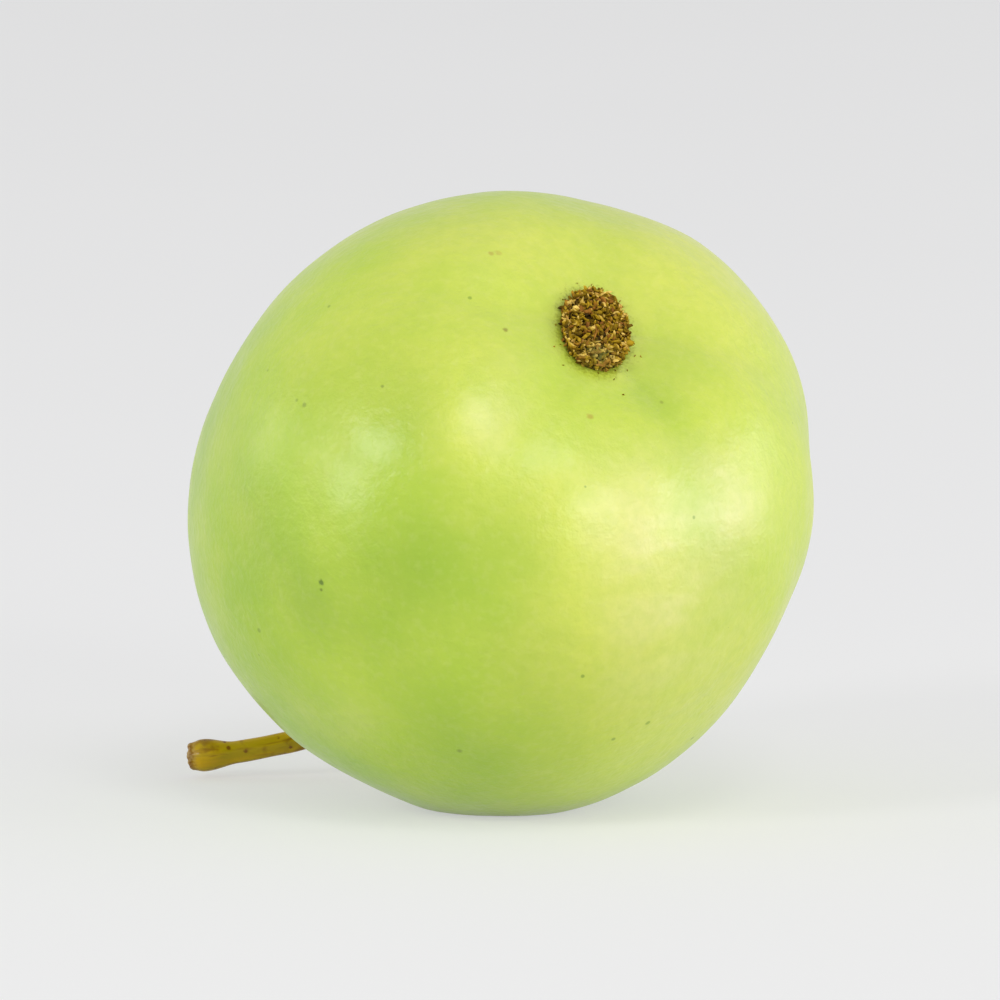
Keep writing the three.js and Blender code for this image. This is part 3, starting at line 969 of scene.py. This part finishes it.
class CRABAPPLE_OT_fruit(bpy.types.Operator):
    """Build the fruit: one closed skin with its ribs, stem hollow and calyx basin"""

    bl_idname = "crabapple.fruit"
    bl_label = "Build the Fruit"

    def execute(self, context):
        settings = context.scene.crab_apple
        fruit, stem = settings.fruit, settings.stem
        place = resting_place(fruit)
        polar, turn = ball_grid(*SKIN_GRID)
        raised = relief(fruit, polar, turn) + collar(fruit, stem, polar, turn)
        rings = settle(lay_down(skin_points(fruit, polar, turn, raised), place))
        poles = lay_down(skin_points(fruit, np.array([0.0, np.pi]), np.zeros(2)), place)
        poles[0] += collar(fruit, stem, np.zeros(1), np.zeros(1)) * place[0][2]
        points, faces = capped_tube(rings, *poles)
        piece = make_piece("fruit_skin", points, faces, "fruit")

        # Greener and darker along the grooves: partly the skin's own green, partly painted groove shade.
        groove_green_and_shade = groove(fruit, turn) * smoothstep(polar, 1.3, 2.3) * np.sqrt(np.sin(polar))
        groove_green_and_shade *= np.array(GROOVE_GREENS_AND_SHADE)[np.rint(groove_phase(fruit, turn)).astype(int) % fruit.ribs]
        store(piece, "groove_green_and_shade", np.append(groove_green_and_shade, [0, 0]))
        # The tints: partly real bloom and green, partly painted highlight and painted shade.
        store(piece, "tint_and_painted_light", np.append(bells(SKIN_TINTS_AND_PAINTED_LIGHT, polar, turn), [0, 0]))
        out = fruit.radius * np.sin(polar)
        cork, cork_reach = 0.75, 0.0021
        corky = np.where(polar < 0.9, cork * bell(out, cork_reach), 0.0)
        store(piece, "corky", np.append(corky, [cork, 0]))
        calyx = settings.calyx
        level, upright = out * np.cos(turn) - calyx.middle[0], out * np.sin(turn) - calyx.middle[1]
        cos, sin = math.cos(calyx.turn), math.sin(calyx.turn)
        along, across = level * cos + upright * sin, upright * cos - level * sin
        edge = np.hypot(along / calyx.half_length, across / calyx.half_width)
        stained = np.where(polar > 2.0, bell(np.maximum(edge - 0.95, 0), 0.40, 1.5), 0.0)
        store(piece, "stained", np.append(stained, [0, 1]))

        turns = np.radians([speck[:2] for speck in SPECKS])
        specks = lay_down(skin_points(fruit, *turns.T, relief(fruit, *turns.T)), place)
        piece.data.materials.append(skin_material(fruit, specks))
        return {"FINISHED"}


class CRABAPPLE_OT_stem(bpy.types.Operator):
    """Build the stem: a fluted, streaked tube along its bent line, with a torn end"""

    bl_idname = "crabapple.stem"
    bl_label = "Build the Stem"

    def execute(self, context):
        settings = context.scene.crab_apple
        place = resting_place(settings.fruit)
        rings, start, end, stretched, scar = stem_surface(settings.fruit, settings.stem, place)
        points, faces = capped_tube(rings, start, end)
        piece = make_piece("bent_stem", points, faces, "stem")
        store(piece, "stretched", np.append(stretched.reshape(-1, 3), np.zeros((2, 3)), axis=0))
        store(piece, "scar", np.append(scar, [0, 1]))
        piece.data.materials.append(stem_material(settings.stem))
        return {"FINISHED"}


class CRABAPPLE_OT_calyx(bpy.types.Operator):
    """Build the dried calyx: a lumpy button covered in loose dry crumbs"""

    bl_idname = "crabapple.calyx"
    bl_label = "Build the Calyx"

    def execute(self, context):
        settings = context.scene.crab_apple
        fruit, calyx = settings.fruit, settings.calyx
        place = resting_place(fruit)
        button = calyx_button(fruit, calyx)
        tips = np.array([[0, 0, -1.0], [0, 0, -1.0]])
        tips[:, 2] = skin_height(fruit, np.zeros(1), np.zeros(1)) + [-calyx.stand, calyx.root]
        points, faces = capped_tube(button[:, ::-1], *tips)
        corners, tone, rust, moss = crumb_field(fruit, calyx)
        firsts = corners.shape[1] * np.arange(len(corners))
        crumb_faces = (GRAIN_FACES[None] + firsts[:, None, None]).reshape(-1, 3)
        faces.append(crumb_faces + len(points))
        points = np.concatenate([points, corners.reshape(-1, 3)])
        piece = make_piece("dried_calyx", lay_down(points, place), faces, "calyx", smooth=False)
        under = len(points) - tone.size
        store(piece, "tone", np.append(np.full(under, 0.04), tone))
        store(piece, "rust", np.append(np.zeros(under), rust))
        store(piece, "moss", np.append(np.zeros(under), moss))
        piece.data.materials.append(calyx_material(calyx))
        return {"FINISHED"}


def aim(name, data, target, way, distance):
    """A lamp or camera in the scene, at a distance from its target along a way, and facing it."""
    holder = bpy.data.objects.new(name, data)
    holder.location = target + Vector(way) * distance
    holder.rotation_euler = Vector(way).to_track_quat("Z", "Y").to_euler()
    bpy.context.scene.collection.objects.link(holder)
    return holder


def add_softbox(name, azimuth, elevation, side, radiance, target):
    """A square lamp facing the target. One of side s and radiance r all over has a power of pi r s^2."""
    lamp = bpy.data.lights.new(name, "AREA")
    lamp.size = side
    lamp.energy = math.pi * radiance * side**2
    aim(name, lamp, target, facing(math.radians(azimuth), math.radians(elevation)), LAMP_DISTANCE)


def seen_ray(tree):
    """1 for the rays that show a backdrop to the eye: straight, mirrored or through glass."""
    path = tree.nodes.new("ShaderNodeLightPath").outputs
    shown = add_up(path["Is Camera Ray"], path["Is Glossy Ray"])
    return maths("ADD", shown, path["Is Transmission Ray"], clamp=True)


def show_instead(tree, part, shader, kind, tone, output):
    """Mixes a part of a plain shader with a tone of its own into what reaches the tree's output."""
    plain = tree.nodes.new(kind)
    wire(plain, {"Color": (*tone, 1), "Strength": 1.0})
    mix = add_node("ShaderNodeMixShader", {0: part, 1: shader.outputs[0], 2: plain.outputs[0]})
    wire(tree.nodes[output], {"Surface": mix.outputs[0]})


def floor_material(stage):
    """Plain pale matt floor. Where it shows it is lifted towards a pale glow, and keeps its shadows."""
    material, tree, shader, place = new_material("Pale floor")
    softer = tuple(0.985 * part for part in stage.floor)
    base = blend_colours(patches(place, 9.0, 0.3, 0.7), stage.floor, softer)
    wire(shader, {"Base Color": base, "Roughness": 0.9, "Specular IOR Level": 0.1})
    lift = times(seen_ray(tree), stage.floor_lift)
    show_instead(tree, lift, shader, "ShaderNodeEmission", stage.glow, "Material Output")
    return material


def make_world(stage):
    """Even light all round; what shows of it, also in reflections, has the backdrop's colour."""
    world = bpy.data.worlds.new("Studio")
    bpy.context.scene.world = world
    world.use_nodes = True
    tree = world.node_tree
    even = tree.nodes["Background"]
    wire(even, {"Color": (1, 1, 1, 1), "Strength": stage.daylight})
    show_instead(tree, seen_ray(tree), even, "ShaderNodeBackground", stage.backdrop, "World Output")


class CRABAPPLE_OT_stage(bpy.types.Operator):
    """Set the stage: pale floor, soft light and the camera"""

    bl_idname = "crabapple.stage"
    bl_label = "Set the Stage"

    def execute(self, context):
        scene = context.scene
        stage = scene.crab_apple.stage
        low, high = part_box("fruit")
        middle = (low + high) / 2

        mesh = bpy.data.meshes.new("floor")
        corners = FLOOR_REACH * np.array([(-1, -1, 0), (1, -1, 0), (1, 1, 0), (-1, 1, 0)])
        mesh.from_pydata(corners.tolist(), [], [(0, 1, 2, 3)])
        floor = bpy.data.objects.new("floor", mesh)
        floor.data.materials.append(floor_material(stage))
        scene.collection.objects.link(floor)

        make_world(stage)
        for name, (azimuth, elevation, side) in SOFT_BOXES.items():
            add_softbox(name, azimuth, elevation, side, getattr(stage, name), middle)

        camera = bpy.data.cameras.new("camera")
        camera.sensor_width = 36
        camera.lens = camera.sensor_width * stage.camera_distance / stage.field_width
        way = facing(0, stage.camera_elevation)
        scene.camera = aim("camera", camera, middle, way, stage.camera_distance)
        scene.view_settings.view_transform = "Standard"
        return {"FINISHED"}


class CRABAPPLE_PT_panel(bpy.types.Panel):
    """Crab apple pieces and settings"""

    bl_idname = "CRABAPPLE_PT_panel"
    bl_label = "Crab Apple"
    bl_space_type = "VIEW_3D"
    bl_region_type = "UI"
    bl_category = "Crab Apple"

    def draw(self, context):
        for name, operator in OPERATORS.items():
            box = self.layout.box()
            box.operator(operator.bl_idname)
            group = getattr(context.scene.crab_apple, name)
            for key in group.__annotations__:
                box.prop(group, key)


OPERATORS = {
    "fruit": CRABAPPLE_OT_fruit,
    "stem": CRABAPPLE_OT_stem,
    "calyx": CRABAPPLE_OT_calyx,
    "stage": CRABAPPLE_OT_stage,
}

SETTINGS = (FruitSettings, StemSettings, CalyxSettings, StageSettings, CrabAppleSettings)
CLASSES = (*SETTINGS, *OPERATORS.values(), CRABAPPLE_PT_panel)


def register():
    for cls in CLASSES:
        bpy.utils.register_class(cls)
    bpy.types.Scene.crab_apple = PointerProperty(type=CrabAppleSettings)


def unregister():
    del bpy.types.Scene.crab_apple
    for cls in reversed(CLASSES):
        bpy.utils.unregister_class(cls)


def main():
    register()
    bpy.ops.crabapple.fruit()
    bpy.ops.crabapple.stem()
    bpy.ops.crabapple.calyx()
    bpy.ops.crabapple.stage()


if __name__ == "__main__":
    main()
